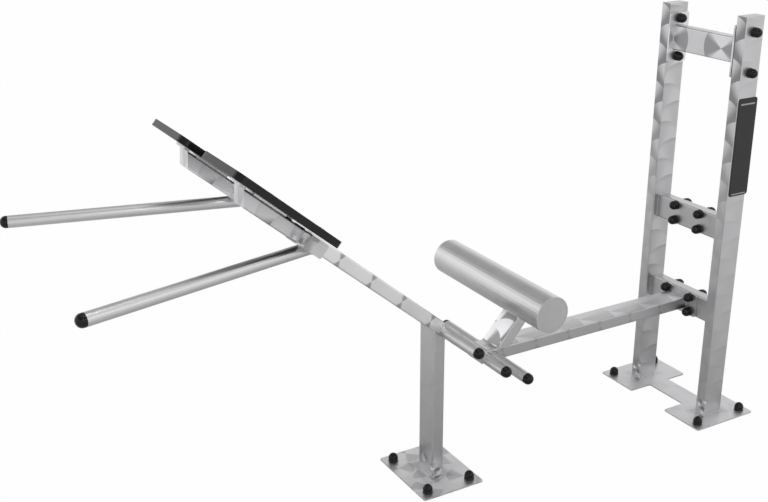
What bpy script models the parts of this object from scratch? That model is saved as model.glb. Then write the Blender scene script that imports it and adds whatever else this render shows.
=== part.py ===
"""Outdoor hyperextension bench, as the pieces that it is welded and bolted from.

Metres, +Z up. The origin is the centre of the post's foot on the ground, and the
ladder frame stands at +X. Left and right are those of a person lying on the boards,
whose head points to -X, so left is the -Y side.

A place on the slope is given as (up, side, above): up is the distance up the slope,
side is Y, and above is the height over the plane through the origin at the slope's angle.
"""

import math

import bmesh
import bpy
from mathutils import Matrix, Vector

MM = 0.001

# Fits
GAP = 0.3 * MM
HOLE_CLEARANCE = 0.5 * MM
WELD_DISTANCE = 0.01 * MM

# Stock tube of the frame
TUBE_WIDTH = 80 * MM
TUBE_DEPTH = 40 * MM
TUBE_WALL = 2.5 * MM
TUBE_CORNER = 5 * MM
TUBE_INNER_CORNER = 2 * MM
TUBE_LID = 3 * MM

# Round tube of the handles and foot tubes
ROUND_TUBE_RADIUS = 16.85 * MM
ROUND_TUBE_WALL = 2.6 * MM

# Post and its foot
SLOPE = math.radians(40.2)
POST_HEIGHT = 484 * MM
POST_PLATE_LENGTH = 213 * MM
POST_PLATE_WIDTH = 272 * MM
PLATE_THICKNESS = 5 * MM
PLATE_CORNER = 6 * MM
POST_ANCHOR_X = 75.5 * MM
POST_ANCHOR_Y = 103.5 * MM

# Ladder frame
LADDER_X = 1028.6 * MM
LADDER_HEIGHT = 1360.6 * MM
UPRIGHT_Y = 162.1 * MM
PAD_LENGTH = 253.4 * MM
PAD_INNER_Y = 82.5 * MM
PAD_OUTER_Y = 244.6 * MM
STRIP_WIDTH = 84 * MM
STRIP_OFFSET = 3 * MM
LADDER_ANCHOR_X = 97 * MM
LADDER_ANCHOR_Y = 212 * MM
BEAM_Z = 370 * MM
MIDDLE_BAR_Z = 668 * MM
TOP_BAR_DROP = 110.6 * MM
BAR_BOLT_Y = 55 * MM
BAR_BOLT_Z = 26.5 * MM
FLANGE_THICKNESS = 6 * MM
FLANGE_CORNER = 8 * MM
BEAM_FLANGE_WIDTH = 168 * MM
TOP_FLANGE_HEIGHT = 162 * MM
TOP_BOLT_Z = 62.5 * MM

# Foot tubes, through the beam and the boom
FOOT_TUBE_SPAN = 431 * MM
LOWER_FOOT_X = 195.3 * MM
MIDDLE_FOOT_UP = 179.3 * MM
UPPER_FOOT_UP = 308.6 * MM

# Ankle roller and its arm
ROLLER_RADIUS = 56 * MM
ROLLER_SPAN = 544 * MM
ROLLER_WALL = 3 * MM
ROLLER_DISC = 4 * MM
ROLLER_UP = 201.4 * MM
ROLLER_ABOVE = 597.7 * MM
ARM_UP = 69.9 * MM

# Fork that carries the boards
FORK_TUBE_WIDTH = 60 * MM
FORK_DROP = 5 * MM
CROSS_TUBE_UP = 957.6 * MM
CROSS_TUBE_SPAN = 516 * MM
RAIL_INSET = 71 * MM
RAIL_HEAD_X = -673.5 * MM
RAIL_HEAD_LEAN = math.radians(3.9)
SPACER_UP = 1082.6 * MM
SPACER_LENGTH = 107.5 * MM
LUG_UP = 1216.6 * MM
LUG_LENGTH = 19.5 * MM

# Boards
BOARD_UP = 950.5 * MM
BOARD_LENGTH = 344.5 * MM
BOARD_WIDTH = 242 * MM
BOARD_THICKNESS = 20 * MM
BOARD_OFFSET = 4.4 * MM
BOARD_CORNER = 30 * MM
BOARD_EDGE = 3 * MM

# Handles
HANDLE_Z = 915.5 * MM
HANDLE_INSET = 39.1 * MM
HANDLE_LENGTH = 608 * MM
HANDLE_SPREAD = math.radians(13.6)

# Dome plugs in the ends of the round tubes
PLUG_RIM = 5 * MM
PLUG_DOME = 16 * MM
PLUG_STEM = 14 * MM

# M12 bolts and anchors, with dome caps shut over their heads and nuts
BOLT_RADIUS = 6 * MM
CAP_RADIUS = 15.5 * MM
CAP_SKIRT = 13 * MM
CAP_DOME = 14 * MM

# Fineness of round shapes
CORNER_STEPS = 4
BOARD_CORNER_STEPS = 6
TUBE_SIDES = 24
ROLLER_SIDES = 40
PLUG_SIDES = 16
CAP_SIDES = 12
HOLE_SIDES = 12
DOME_STEPS = 3
SMOOTH_ANGLE = math.radians(35)

# Worked out from the sizes above
COS = math.cos(SLOPE)
SIN = math.sin(SLOPE)
BOOM_UNDER = POST_HEIGHT * COS
BOOM_TOP = BOOM_UNDER + TUBE_DEPTH
BOOM_MIDDLE = BOOM_UNDER + TUBE_DEPTH / 2
BEAM_TOP_Z = BEAM_Z + TUBE_DEPTH / 2
MITRE_X = (BOOM_MIDDLE - BEAM_Z * COS) / SIN
CROSS_TUBE_MIDDLE = CROSS_TUBE_UP + FORK_TUBE_WIDTH / 2
FORK_TOP = BOOM_TOP - FORK_DROP
FORK_MIDDLE = FORK_TOP - TUBE_DEPTH / 2
FORK_UNDER = FORK_TOP - TUBE_DEPTH
RAIL_HEAD_Z = (FORK_MIDDLE - RAIL_HEAD_X * SIN) / COS
RAIL_HEAD_UP = RAIL_HEAD_Z * SIN - RAIL_HEAD_X * COS
RAIL_SIDE = CROSS_TUBE_SPAN / 2 - RAIL_INSET
BOARD_UNDER = BOOM_TOP + GAP
BOARD_SIDE = RAIL_SIDE - BOARD_OFFSET
HANDLE_ROOT_Y = CROSS_TUBE_SPAN / 2 - HANDLE_INSET
TOP_BAR_Z = LADDER_HEIGHT - TOP_BAR_DROP
BAR_FRONT_X = LADDER_X - TUBE_DEPTH / 2
BAR_BACK_X = LADDER_X + TUBE_DEPTH / 2
BEAM_END_X = BAR_FRONT_X - FLANGE_THICKNESS - 2 * GAP
UPRIGHT_INNER_Y = UPRIGHT_Y - TUBE_DEPTH / 2
UPRIGHT_OUTER_Y = UPRIGHT_Y + TUBE_DEPTH / 2
TOP_FLANGE_Y = UPRIGHT_INNER_Y - GAP - FLANGE_THICKNESS / 2
TOP_FLANGE_INNER_Y = TOP_FLANGE_Y - FLANGE_THICKNESS / 2
BOLT_HOLE_RADIUS = BOLT_RADIUS + HOLE_CLEARANCE

# Turns that lay the Z of a shape along another axis
ALONG_X = (0, math.pi / 2, 0)
ALONG_Y = (-math.pi / 2, 0, 0)
SIDES = {"left": -1, "right": 1}
ENDS = (-1, 1)

# Colour, roughness and metallic value of each finish
GROUND_STEEL = ((0.62, 0.62, 0.63), 0.34, 1.0)
SATIN_STEEL = ((0.58, 0.58, 0.59), 0.28, 1.0)
BLACK_BOARD = ((0.022, 0.022, 0.024), 0.55, 0.0)
BLACK_PLASTIC = ((0.015, 0.015, 0.016), 0.32, 0.0)


def clear_scene():
    """Remove every object of the open scene."""
    for old in list(bpy.data.objects):
        bpy.data.objects.remove(old, do_unlink=True)


def new_collection(name):
    """Collection of the scene for the pieces or the cutters."""
    made = bpy.data.collections.new(name)
    bpy.context.scene.collection.children.link(made)
    return made


def set_finish(piece, finish):
    """Give a piece its own material."""
    colour, roughness, metallic = finish
    material = bpy.data.materials.new(piece.name)
    material.use_nodes = True
    shader = material.node_tree.nodes["Principled BSDF"]
    shader.inputs["Base Color"].default_value = (*colour, 1)
    shader.inputs["Roughness"].default_value = roughness
    shader.inputs["Metallic"].default_value = metallic
    piece.data.materials.append(material)


def slope_point(up, side, above):
    """World place of a point given on the slope."""
    return Vector((above * SIN - up * COS, side, above * COS + up * SIN))


def slope_direction(up, above):
    """World direction of a direction given on the slope."""
    return slope_point(up, 0, above).normalized()


def circle(radius, sides, centre=(0, 0)):
    """Points round a circle."""
    angles = [2 * math.pi * step / sides for step in range(sides)]
    return [(centre[0] + radius * math.cos(a), centre[1] + radius * math.sin(a)) for a in angles]


def filleted(corners, radius, steps):
    """Outline through the corners, each rounded by an arc that touches both its edges."""
    outline = []
    for index, corner in enumerate(corners):
        here = Vector(corner)
        back = (Vector(corners[index - 1]) - here).normalized()
        ahead = (Vector(corners[(index + 1) % len(corners)]) - here).normalized()
        half = back.angle(ahead) / 2
        centre = here + (back + ahead).normalized() * radius / math.sin(half)
        spoke = here + back * radius / math.tan(half) - centre
        sweep = math.copysign(math.pi - 2 * half, ahead.x * back.y - ahead.y * back.x)
        for step in range(steps + 1):
            angle = sweep * step / steps
            cos, sin = math.cos(angle), math.sin(angle)
            outline.append((centre.x + spoke.x * cos - spoke.y * sin,
                            centre.y + spoke.x * sin + spoke.y * cos))
    return outline


def rounded_rectangle(width, height, radius, steps=CORNER_STEPS):
    """Rectangle about the origin with rounded corners."""
    x, y = width / 2, height / 2
    return filleted([(-x, -y), (x, -y), (x, y), (-x, y)], radius, steps)


def bore_outline(depth, width):
    """Inner outline of a rectangular tube."""
    return rounded_rectangle(depth - 2 * TUBE_WALL, width - 2 * TUBE_WALL, TUBE_INNER_CORNER, 1)


def evaluated_mesh(source):
    """Welded mesh of an object with its modifiers; the object itself is removed."""
    bpy.context.scene.collection.objects.link(source)
    graph = bpy.context.evaluated_depsgraph_get()
    mesh = bpy.data.meshes.new_from_object(source.evaluated_get(graph))
    bpy.data.objects.remove(source)
    work = bmesh.new()
    work.from_mesh(mesh)
    bmesh.ops.remove_doubles(work, verts=work.verts, dist=WELD_DISTANCE)
    work.to_mesh(mesh)
    work.free()
    return mesh


def extruded(outlines, thickness):
    """Solid of flat outlines, the first the rim and the others holes, centred on its height."""
    curve = bpy.data.curves.new("outline", "CURVE")
    curve.dimensions = "2D"
    curve.fill_mode = "BOTH"
    curve.extrude = thickness / 2
    for outline in outlines:
        spline = curve.splines.new("POLY")
        spline.points.add(len(outline) - 1)
        spline.use_cyclic_u = True
        for point, (x, y) in zip(spline.points, outline):
            point.co = (x, y, 0, 1)
    return evaluated_mesh(bpy.data.objects.new("outline", curve))


def turned(profile, sides):
    """Solid of revolution about Z; the profile runs from the top down its outer side."""
    mesh = bpy.data.meshes.new("profile")
    edges = [(index, index + 1) for index in range(len(profile) - 1)]
    mesh.from_pydata([(radius, 0, height) for radius, height in profile], edges, [])
    source = bpy.data.objects.new("profile", mesh)
    screw = source.modifiers.new("Turn", "SCREW")
    screw.steps = sides
    screw.render_steps = sides
    screw.use_merge_vertices = True
    screw.merge_threshold = WELD_DISTANCE
    return evaluated_mesh(source)


def rod(radius, length, sides):
    """Cylinder along Z, centred."""
    return extruded([circle(radius, sides)], length)


def tube(depth, width, length):
    """Rectangular tube along Z, open at both ends."""
    return extruded([rounded_rectangle(depth, width, TUBE_CORNER), bore_outline(depth, width)], length)


def round_tube(length):
    """Round tube along Z, open at both ends."""
    outer = circle(ROUND_TUBE_RADIUS, TUBE_SIDES)
    inner = circle(ROUND_TUBE_RADIUS - ROUND_TUBE_WALL, TUBE_SIDES)
    return extruded([outer, inner], length)


def quarter_ellipse(radius, base, height):
    """Dome's profile from its crown down to its rim."""
    angles = [math.pi / 2 * step / DOME_STEPS for step in range(DOME_STEPS + 1)]
    return [(radius * math.sin(angle), base + height * math.cos(angle)) for angle in angles]


def plug():
    """Dome plug that stands on its own origin, with a stem below it."""
    stem = (ROUND_TUBE_RADIUS - ROUND_TUBE_WALL) * math.cos(math.pi / TUBE_SIDES) - GAP
    dome = quarter_ellipse(ROUND_TUBE_RADIUS, PLUG_RIM, PLUG_DOME)
    foot = [(ROUND_TUBE_RADIUS, GAP), (stem, GAP), (stem, -PLUG_STEM), (0, -PLUG_STEM)]
    return turned(dome + foot, PLUG_SIDES)


def cap_profile():
    """Dome cap that stands on its own origin, from its crown to the shank under it."""
    dome = quarter_ellipse(CAP_RADIUS, CAP_SKIRT, CAP_DOME)
    return dome + [(CAP_RADIUS, GAP), (BOLT_RADIUS, GAP)]


def facing(direction, point):
    """Place whose own Z points in a direction."""
    turn = Vector(direction).to_track_quat("Z", "Y").to_matrix().to_4x4()
    return Matrix.Translation(Vector(point)) @ turn


class Bench:
    """The collections, the slope that sloping pieces hang on, and the ways to add and cut pieces."""

    def __init__(self):
        self.pieces = new_collection("hyperextension_bench")
        self.cutters = new_collection("cutters")
        self.slope = bpy.data.objects.new("slope", None)
        self.slope.rotation_euler = (0, SLOPE, 0)
        self.pieces.objects.link(self.slope)

    def add(self, name, mesh, finish, at, turn=(0, 0, 0)):
        """Add a piece at a place in the world."""
        mesh.name = name
        piece = bpy.data.objects.new(name, mesh)
        piece.location = at
        piece.rotation_euler = turn
        self.pieces.objects.link(piece)
        set_finish(piece, finish)
        mesh.shade_smooth()
        mesh.set_sharp_from_angle(angle=SMOOTH_ANGLE)
        return piece

    def add_facing(self, name, mesh, finish, at, direction):
        """Add a piece whose own Z points in a direction."""
        turn = Vector(direction).to_track_quat("Z", "Y").to_euler()
        return self.add(name, mesh, finish, at, turn)

    def add_on_slope(self, name, mesh, finish, up, side, above, turn=(0, 0, 0)):
        """Add a piece at a place on the slope, turned with it."""
        piece = self.add(name, mesh, finish, (-up, side, above), turn)
        piece.parent = self.slope
        return piece

    def cutter(self, name, mesh, place):
        """Add a hidden body for the pieces' Booleans."""
        body = bpy.data.objects.new(name, mesh)
        body.matrix_world = place
        body.hide_render = True
        body.display_type = "WIRE"
        self.cutters.objects.link(body)
        return body

    def cut(self, piece, body, operation="DIFFERENCE"):
        """Take a hidden body away from a piece, or join it on with the operation UNION."""
        boolean = piece.modifiers.new(body.name, "BOOLEAN")
        boolean.operation = operation
        boolean.solver = "EXACT"
        boolean.object = body

    def drill(self, piece, radius, sides, centre, direction, length):
        """Cut a round hole through a piece."""
        name = f"{piece.name}_hole_{len(piece.modifiers) + 1}"
        self.cut(piece, self.cutter(name, rod(radius, length, sides), facing(direction, centre)))

    def trim(self, piece, point, normal):
        """Cut off what lies beyond a plane near a point, on the side that its normal points to."""
        reach = 4 * TUBE_WIDTH
        block = bmesh.new()
        bmesh.ops.create_cube(block, size=reach)
        mesh = bpy.data.meshes.new("trim")
        block.to_mesh(mesh)
        block.free()
        place = facing(normal, Vector(point) + Vector(normal) * reach / 2)
        self.cut(piece, self.cutter(f"{piece.name}_trim_{len(piece.modifiers) + 1}", mesh, place))


def post_base_plate(bench):
    """Foot of the post, with its four anchor holes."""
    rim = rounded_rectangle(POST_PLATE_LENGTH, POST_PLATE_WIDTH, PLATE_CORNER)
    holes = [circle(BOLT_HOLE_RADIUS, HOLE_SIDES, spot) for spot in post_anchor_spots()]
    mesh = extruded([rim] + holes, PLATE_THICKNESS)
    bench.add("post_base_plate", mesh, GROUND_STEEL, (0, 0, PLATE_THICKNESS / 2))


def post(bench):
    """Post whose head is cut to the boom's slope."""
    foot = PLATE_THICKNESS + GAP
    length = POST_HEIGHT + TUBE_DEPTH - foot
    mesh = tube(TUBE_DEPTH, TUBE_WIDTH, length)
    piece = bench.add("post", mesh, GROUND_STEEL, (0, 0, foot + length / 2))
    square = slope_direction(0, 1)
    bench.trim(piece, Vector((0, 0, POST_HEIGHT)) - square * GAP, square)


def mitre_normal():
    """Direction in which the boom runs on into the beam."""
    return Vector((math.cos(SLOPE / 2), 0, -math.sin(SLOPE / 2)))


def boom(bench):
    """Sloping main tube, mitred to the beam and butted to the cross tube."""
    low = BEAM_Z * SIN - MITRE_X * COS - TUBE_DEPTH
    high = CROSS_TUBE_UP - GAP
    mesh = tube(TUBE_DEPTH, TUBE_WIDTH, high - low)
    piece = bench.add_on_slope("boom", mesh, GROUND_STEEL, (low + high) / 2, 0, BOOM_MIDDLE, ALONG_X)
    corner = Vector((MITRE_X, 0, BEAM_Z))
    bench.trim(piece, corner - mitre_normal() * GAP / 2, mitre_normal())
    for up in (MIDDLE_FOOT_UP, UPPER_FOOT_UP):
        drill_for_foot_tube(bench, piece, slope_point(up, 0, BOOM_MIDDLE))


def link_beam(bench):
    """Level tube from the boom's foot to the ladder's flange."""
    start = MITRE_X - TUBE_DEPTH
    mesh = tube(TUBE_DEPTH, TUBE_WIDTH, BEAM_END_X - start)
    middle = (start + BEAM_END_X) / 2
    piece = bench.add("link_beam", mesh, GROUND_STEEL, (middle, 0, BEAM_Z), ALONG_X)
    corner = Vector((MITRE_X, 0, BEAM_Z))
    bench.trim(piece, corner + mitre_normal() * GAP / 2, -mitre_normal())
    drill_for_foot_tube(bench, piece, (LOWER_FOOT_X, 0, BEAM_Z))


def drill_for_foot_tube(bench, piece, centre):
    """Cut the hole that a foot tube passes through."""
    bench.drill(piece, ROUND_TUBE_RADIUS + GAP, TUBE_SIDES, centre, (0, 1, 0), 2 * TUBE_WIDTH)


def foot_tubes(bench):
    """Three tubes for the feet, with a plug in each end."""
    centres = {
        "lower": Vector((LOWER_FOOT_X, 0, BEAM_Z)),
        "middle": slope_point(MIDDLE_FOOT_UP, 0, BOOM_MIDDLE),
        "upper": slope_point(UPPER_FOOT_UP, 0, BOOM_MIDDLE),
    }
    for place, centre in centres.items():
        bench.add_facing(f"foot_tube_{place}", round_tube(FOOT_TUBE_SPAN), SATIN_STEEL, centre, (0, 1, 0))
        for side, sign in SIDES.items():
            end = centre + Vector((0, sign * FOOT_TUBE_SPAN / 2, 0))
            bench.add_facing(f"foot_plug_{place}_{side}", plug(), BLACK_PLASTIC, end, (0, sign, 0))


def roller_arm(bench):
    """Arm square to the boom, standing on the beam, and the stub that its head is mitred to."""
    top = ROLLER_ABOVE + TUBE_DEPTH / 2
    arm_mesh = tube(TUBE_DEPTH, TUBE_WIDTH, top - BOOM_UNDER)
    arm = bench.add_on_slope("roller_arm", arm_mesh, GROUND_STEEL, ARM_UP, 0, (top + BOOM_UNDER) / 2)
    bench.trim(arm, (LOWER_FOOT_X, 0, BEAM_TOP_Z + GAP), (0, 0, -1))
    corner = slope_point(ARM_UP, 0, ROLLER_ABOVE)
    outward = slope_direction(1, 1)
    bench.trim(arm, corner - outward * GAP / 2, outward)
    low = ARM_UP - TUBE_DEPTH / 2
    stub_mesh = tube(TUBE_DEPTH, TUBE_WIDTH, ROLLER_UP - low)
    stub = bench.add_on_slope("roller_stub", stub_mesh, GROUND_STEEL,
                              (low + ROLLER_UP) / 2, 0, ROLLER_ABOVE, ALONG_X)
    bench.trim(stub, corner + outward * GAP / 2, -outward)
    saddle = slope_point(ROLLER_UP, 0, ROLLER_ABOVE)
    bench.drill(stub, ROLLER_RADIUS + GAP, ROLLER_SIDES, saddle, (0, 1, 0), ROLLER_SPAN)


def roller(bench):
    """Fixed ankle roller: a wide tube closed by a disc let into each end."""
    outer = circle(ROLLER_RADIUS, ROLLER_SIDES)
    inner = circle(ROLLER_RADIUS - ROLLER_WALL, ROLLER_SIDES)
    centre = slope_point(ROLLER_UP, 0, ROLLER_ABOVE)
    bench.add_facing("roller_tube", extruded([outer, inner], ROLLER_SPAN), SATIN_STEEL, centre, (0, 1, 0))
    reach = (ROLLER_SPAN - ROLLER_DISC) / 2 - GAP
    for side, sign in SIDES.items():
        disc = rod(ROLLER_RADIUS - ROLLER_WALL - GAP, ROLLER_DISC, ROLLER_SIDES)
        place = centre + Vector((0, sign * reach, 0))
        bench.add_facing(f"roller_disc_{side}", disc, SATIN_STEEL, place, (0, 1, 0))


def cross_tube(bench):
    """Tube across the boom's head, under the boards' lower ends, with closed ends."""
    length = CROSS_TUBE_SPAN - 2 * (TUBE_LID + GAP)
    mesh = tube(FORK_TUBE_WIDTH, TUBE_DEPTH, length)
    bench.add_on_slope("cross_tube", mesh, GROUND_STEEL, CROSS_TUBE_MIDDLE, 0, FORK_MIDDLE, ALONG_Y)
    reach = (CROSS_TUBE_SPAN - TUBE_LID) / 2
    for side, sign in SIDES.items():
        lid = extruded([rounded_rectangle(FORK_TUBE_WIDTH, TUBE_DEPTH, TUBE_CORNER)], TUBE_LID)
        bench.add_on_slope(f"cross_tube_lid_{side}", lid, GROUND_STEEL,
                           CROSS_TUBE_MIDDLE, sign * reach, FORK_MIDDLE, ALONG_Y)


def rails(bench):
    """Two tubes up from the cross tube, each with a nearly plumb closed head and a lug welded on it."""
    low = CROSS_TUBE_UP + FORK_TUBE_WIDTH + GAP
    length = RAIL_HEAD_UP + TUBE_DEPTH - low
    middle = low + length / 2
    outward = Vector((-math.cos(RAIL_HEAD_LEAN), 0, math.sin(RAIL_HEAD_LEAN)))
    for side, sign in SIDES.items():
        place = sign * RAIL_SIDE
        mesh = extruded([rounded_rectangle(TUBE_DEPTH, FORK_TUBE_WIDTH, TUBE_CORNER)], length)
        rail = bench.add_on_slope(f"rail_{side}", mesh, GROUND_STEEL, middle, place, FORK_MIDDLE, ALONG_X)
        head = Vector((RAIL_HEAD_X, place, RAIL_HEAD_Z))
        bench.trim(rail, head, outward)
        core_mesh = extruded([bore_outline(FORK_TUBE_WIDTH, TUBE_DEPTH)], length + TUBE_DEPTH)
        core_place = facing(slope_direction(1, 0), slope_point(middle, place, FORK_MIDDLE))
        core = bench.cutter(f"rail_{side}_bore", core_mesh, core_place)
        bench.trim(core, head - outward * TUBE_LID, outward)
        bench.cut(rail, core)
        bench.cut(rail, board_lug(bench, side, place), "UNION")


def board_lug(bench, side, place):
    """Lug on a rail's head that a board is screwed to, sunk half a wall into the rail."""
    sunk = FORK_TOP - TUBE_WALL / 2
    thickness = BOARD_UNDER - GAP - sunk
    mesh = extruded([rounded_rectangle(LUG_LENGTH, FORK_TUBE_WIDTH, TUBE_INNER_CORNER)], thickness)
    centre = slope_point(LUG_UP + LUG_LENGTH / 2, place, sunk + thickness / 2)
    return bench.cutter(f"rail_{side}_lug", mesh, Matrix.Translation(centre) @ Matrix.Rotation(SLOPE, 4, "Y"))


def board_spacers(bench):
    """Packing plates between the rails and the boards."""
    thickness = BOARD_UNDER - FORK_TOP - 2 * GAP
    middle = SPACER_UP + SPACER_LENGTH / 2
    for side, sign in SIDES.items():
        plate = extruded([rounded_rectangle(SPACER_LENGTH, FORK_TUBE_WIDTH, TUBE_INNER_CORNER)], thickness)
        bench.add_on_slope(f"board_spacer_{side}", plate, GROUND_STEEL, middle,
                           sign * RAIL_SIDE, FORK_TOP + GAP + thickness / 2)


def boards(bench):
    """Two boards that carry the thighs, with rounded corners and eased edges."""
    rim = rounded_rectangle(BOARD_LENGTH, BOARD_WIDTH, BOARD_CORNER, BOARD_CORNER_STEPS)
    for side, sign in SIDES.items():
        mesh = extruded([rim], BOARD_THICKNESS)
        board = bench.add_on_slope(f"board_{side}", mesh, BLACK_BOARD, BOARD_UP + BOARD_LENGTH / 2,
                                   sign * BOARD_SIDE, BOARD_UNDER + BOARD_THICKNESS / 2)
        bevel = board.modifiers.new("Eased edge", "BEVEL")
        bevel.width = BOARD_EDGE
        bevel.segments = 2
        bevel.limit_method = "ANGLE"
        bevel.angle_limit = SMOOTH_ANGLE


def handles(bench):
    """Two level round tubes that spread out from the cross tube's underside, cut to its slope."""
    root_x = (FORK_UNDER - HANDLE_Z * COS) / SIN
    for side, sign in SIDES.items():
        direction = Vector((-math.cos(HANDLE_SPREAD), sign * math.sin(HANDLE_SPREAD), 0))
        root = Vector((root_x, sign * HANDLE_ROOT_Y, HANDLE_Z))
        middle = root + direction * (HANDLE_LENGTH - TUBE_WIDTH) / 2
        mesh = round_tube(HANDLE_LENGTH + TUBE_WIDTH)
        handle = bench.add_facing(f"handle_{side}", mesh, SATIN_STEEL, middle, direction)
        square = slope_direction(0, 1)
        bench.trim(handle, root - square * GAP, square)
        end = root + direction * HANDLE_LENGTH
        bench.add_facing(f"handle_plug_{side}", plug(), BLACK_PLASTIC, end, direction)


def ladder_base_plate(bench):
    """One plate under both uprights: two pads joined by a strip."""
    end = PAD_LENGTH / 2
    near = STRIP_OFFSET - STRIP_WIDTH / 2
    far = STRIP_OFFSET + STRIP_WIDTH / 2
    pad = [(far, PAD_INNER_Y), (end, PAD_INNER_Y), (end, PAD_OUTER_Y), (-end, PAD_OUTER_Y),
           (-end, PAD_INNER_Y), (near, PAD_INNER_Y)]
    mirrored = [(x, -y) for x, y in reversed(pad)]
    rim = filleted(pad + mirrored, PLATE_CORNER, CORNER_STEPS)
    holes = [circle(BOLT_HOLE_RADIUS, HOLE_SIDES, (x - LADDER_X, y)) for x, y in ladder_anchor_spots()]
    mesh = extruded([rim] + holes, PLATE_THICKNESS)
    bench.add("ladder_base_plate", mesh, GROUND_STEEL, (LADDER_X, 0, PLATE_THICKNESS / 2))


def uprights(bench):
    """Two uprights of the ladder frame, open at the foot and closed at the head."""
    foot = PLATE_THICKNESS + GAP
    length = LADDER_HEIGHT - foot
    for side, sign in SIDES.items():
        middle = Vector((LADDER_X, sign * UPRIGHT_Y, foot + length / 2))
        mesh = extruded([rounded_rectangle(TUBE_WIDTH, TUBE_DEPTH, TUBE_CORNER)], length)
        upright = bench.add(f"upright_{side}", mesh, GROUND_STEEL, middle)
        core_mesh = extruded([bore_outline(TUBE_WIDTH, TUBE_DEPTH)], length)
        place = Matrix.Translation(middle - Vector((0, 0, TUBE_LID)))
        bench.cut(upright, bench.cutter(f"upright_{side}_bore", core_mesh, place))
        for end in ENDS:
            centre = (LADDER_X, sign * UPRIGHT_Y, TOP_BAR_Z + end * TOP_BOLT_Z)
            bench.drill(upright, BOLT_HOLE_RADIUS, HOLE_SIDES, centre, (0, 1, 0), 2 * TUBE_DEPTH)


def bolted_bar(bench, name, z):
    """Crossbar welded between the uprights, with its four bolt holes."""
    mesh = tube(TUBE_DEPTH, TUBE_WIDTH, 2 * (UPRIGHT_INNER_Y - GAP))
    piece = bench.add(name, mesh, GROUND_STEEL, (LADDER_X, 0, z), ALONG_Y)
    for y, height in bar_bolt_spots(z):
        bench.drill(piece, BOLT_HOLE_RADIUS, HOLE_SIDES, (LADDER_X, y, height), (1, 0, 0), 2 * TUBE_DEPTH)


def beam_flange(bench):
    """End flange of the beam, bolted to the lower bar."""
    rim = rounded_rectangle(TUBE_WIDTH, BEAM_FLANGE_WIDTH, FLANGE_CORNER)
    holes = [circle(BOLT_HOLE_RADIUS, HOLE_SIDES, (z, y)) for y, z in bar_bolt_spots(0)]
    mesh = extruded([rim] + holes, FLANGE_THICKNESS)
    x = BAR_FRONT_X - GAP - FLANGE_THICKNESS / 2
    bench.add("beam_flange", mesh, GROUND_STEEL, (x, 0, BEAM_Z), ALONG_X)


def top_bar(bench):
    """Top bar between two flanges that are bolted to the uprights."""
    mesh = tube(TUBE_DEPTH, TUBE_WIDTH, 2 * (TOP_FLANGE_INNER_Y - GAP))
    bench.add("top_bar", mesh, GROUND_STEEL, (LADDER_X, 0, TOP_BAR_Z), ALONG_Y)
    rim = rounded_rectangle(TUBE_WIDTH, TOP_FLANGE_HEIGHT, FLANGE_CORNER)
    holes = [circle(BOLT_HOLE_RADIUS, HOLE_SIDES, (0, end * TOP_BOLT_Z)) for end in ENDS]
    for side, sign in SIDES.items():
        flange = extruded([rim] + holes, FLANGE_THICKNESS)
        bench.add(f"top_flange_{side}", flange, GROUND_STEEL,
                  (LADDER_X, sign * TOP_FLANGE_Y, TOP_BAR_Z), ALONG_Y)


def post_anchor_spots():
    """Places of the post's anchors on the ground."""
    return [(x * POST_ANCHOR_X, y * POST_ANCHOR_Y) for x in ENDS for y in ENDS]


def ladder_anchor_spots():
    """Places of the ladder's anchors on the ground."""
    return [(LADDER_X + x * LADDER_ANCHOR_X, y * LADDER_ANCHOR_Y) for x in ENDS for y in ENDS]


def bar_bolt_spots(z):
    """Y and Z of the four bolts through a crossbar."""
    return [(y * BAR_BOLT_Y, z + end * BAR_BOLT_Z) for y in ENDS for end in ENDS]


def anchors(bench, name, spots):
    """Anchor bolts of one base plate, each with the cap over its nut."""
    shank = [(BOLT_RADIUS, GAP - PLATE_THICKNESS), (0, GAP - PLATE_THICKNESS)]
    for number, (x, y) in enumerate(spots, 1):
        mesh = turned(cap_profile() + shank, CAP_SIDES)
        bench.add(f"{name}_anchor_{number}", mesh, BLACK_PLASTIC, (x, y, PLATE_THICKNESS))


def capped_bolt(grip):
    """Through bolt with a cap over its head and over its nut; its head stands on its origin."""
    nut_side = [(radius, -grip - height) for radius, height in reversed(cap_profile())]
    return turned(cap_profile() + nut_side, CAP_SIDES)


def bar_bolts(bench, name, z, packing):
    """Four bolts along X through a crossbar and the packing in front of it."""
    front = BAR_FRONT_X - packing
    for number, (y, height) in enumerate(bar_bolt_spots(z), 1):
        bolt = capped_bolt(BAR_BACK_X - front)
        bench.add_facing(f"{name}_bolt_{number}", bolt, BLACK_PLASTIC, (front, y, height), (-1, 0, 0))


def top_bolts(bench):
    """Four bolts along Y through the uprights and the top bar's flanges."""
    for side, sign in SIDES.items():
        for number, end in enumerate(ENDS, 1):
            bolt = capped_bolt(UPRIGHT_OUTER_Y - TOP_FLANGE_INNER_Y)
            place = (LADDER_X, sign * UPRIGHT_OUTER_Y, TOP_BAR_Z + end * TOP_BOLT_Z)
            bench.add_facing(f"top_bolt_{side}_{number}", bolt, BLACK_PLASTIC, place, (0, sign, 0))


def build():
    """Model the whole bench."""
    clear_scene()
    bench = Bench()
    post_base_plate(bench)
    post(bench)
    boom(bench)
    link_beam(bench)
    foot_tubes(bench)
    roller_arm(bench)
    roller(bench)
    cross_tube(bench)
    rails(bench)
    board_spacers(bench)
    boards(bench)
    handles(bench)
    ladder_base_plate(bench)
    uprights(bench)
    bolted_bar(bench, "lower_bar", BEAM_Z)
    bolted_bar(bench, "middle_bar", MIDDLE_BAR_Z)
    beam_flange(bench)
    top_bar(bench)
    anchors(bench, "post", post_anchor_spots())
    anchors(bench, "ladder", ladder_anchor_spots())
    bar_bolts(bench, "lower_bar", BEAM_Z, GAP + FLANGE_THICKNESS)
    bar_bolts(bench, "middle_bar", MIDDLE_BAR_Z, 0)
    top_bolts(bench)


build()
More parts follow.
